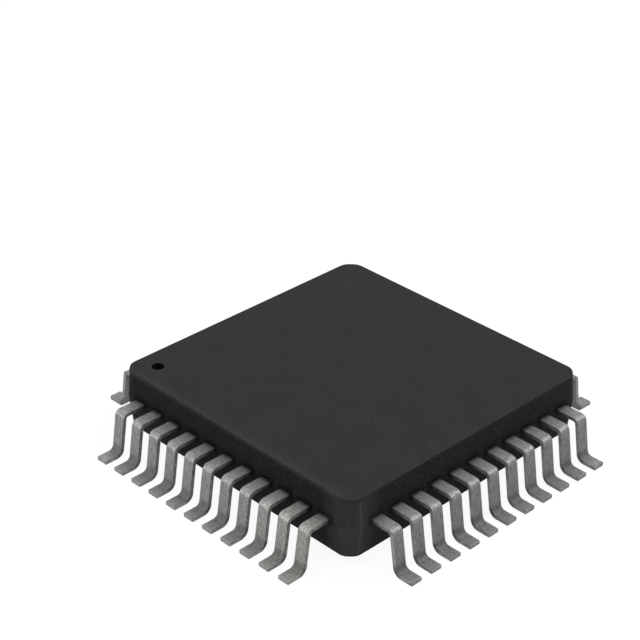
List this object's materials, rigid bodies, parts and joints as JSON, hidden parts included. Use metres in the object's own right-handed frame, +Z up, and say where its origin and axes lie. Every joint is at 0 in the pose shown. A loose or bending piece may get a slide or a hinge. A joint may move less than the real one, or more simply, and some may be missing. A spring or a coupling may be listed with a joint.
{
  "type": "integrated circuit",
  "caption": "Square surface-mount chip in a quad flat package: dark moulded body, gull-wing leads on all four sides, a round recess marking lead 1.",
  "frame": {"origin": "centre of the package on the seating plane, where the feet of the leads rest", "axes": "+Z up through the top face; lead 1 is on the -X side at its +Y end, and the leads are numbered counter-clockwise seen from above"},
  "size_m": [0.0132, 0.0132, 0.0022],
  "materials": {
    "mould_compound": "fine matte moulding",
    "tinned_lead": "matte tin plate over copper alloy",
    "lead_frame_copper": "bare copper alloy sheet",
    "die_adhesive": "silver-filled adhesive",
    "silicon": "polished silicon",
    "bond_wire_gold": "bright gold wire"
  },
  "bodies": {
    "root": {"moulded_body": "mould_compound", "lead_01": "tinned_lead", "lead_02": "tinned_lead", "lead_03": "tinned_lead", "lead_04": "tinned_lead", "lead_05": "tinned_lead", "lead_06": "tinned_lead", "lead_07": "tinned_lead", "lead_08": "tinned_lead", "lead_09": "tinned_lead", "lead_10": "tinned_lead", "lead_11": "tinned_lead", "lead_12": "tinned_lead", "lead_13": "tinned_lead", "lead_14": "tinned_lead", "lead_15": "tinned_lead", "lead_16": "tinned_lead", "lead_17": "tinned_lead", "lead_18": "tinned_lead", "lead_19": "tinned_lead", "lead_20": "tinned_lead", "lead_21": "tinned_lead", "lead_22": "tinned_lead", "lead_23": "tinned_lead", "lead_24": "tinned_lead", "lead_25": "tinned_lead", "lead_26": "tinned_lead", "lead_27": "tinned_lead", "lead_28": "tinned_lead", "lead_29": "tinned_lead", "lead_30": "tinned_lead", "lead_31": "tinned_lead", "lead_32": "tinned_lead", "lead_33": "tinned_lead", "lead_34": "tinned_lead", "lead_35": "tinned_lead", "lead_36": "tinned_lead", "lead_37": "tinned_lead", "lead_38": "tinned_lead", "lead_39": "tinned_lead", "lead_40": "tinned_lead", "lead_41": "tinned_lead", "lead_42": "tinned_lead", "lead_43": "tinned_lead", "lead_44": "tinned_lead", "die_paddle": "lead_frame_copper", "die_attach": "die_adhesive", "silicon_die": "silicon", "bond_wires_01_to_11": "bond_wire_gold", "bond_wires_12_to_22": "bond_wire_gold", "bond_wires_23_to_33": "bond_wire_gold", "bond_wires_34_to_44": "bond_wire_gold"}
  },
  "joints": []
}
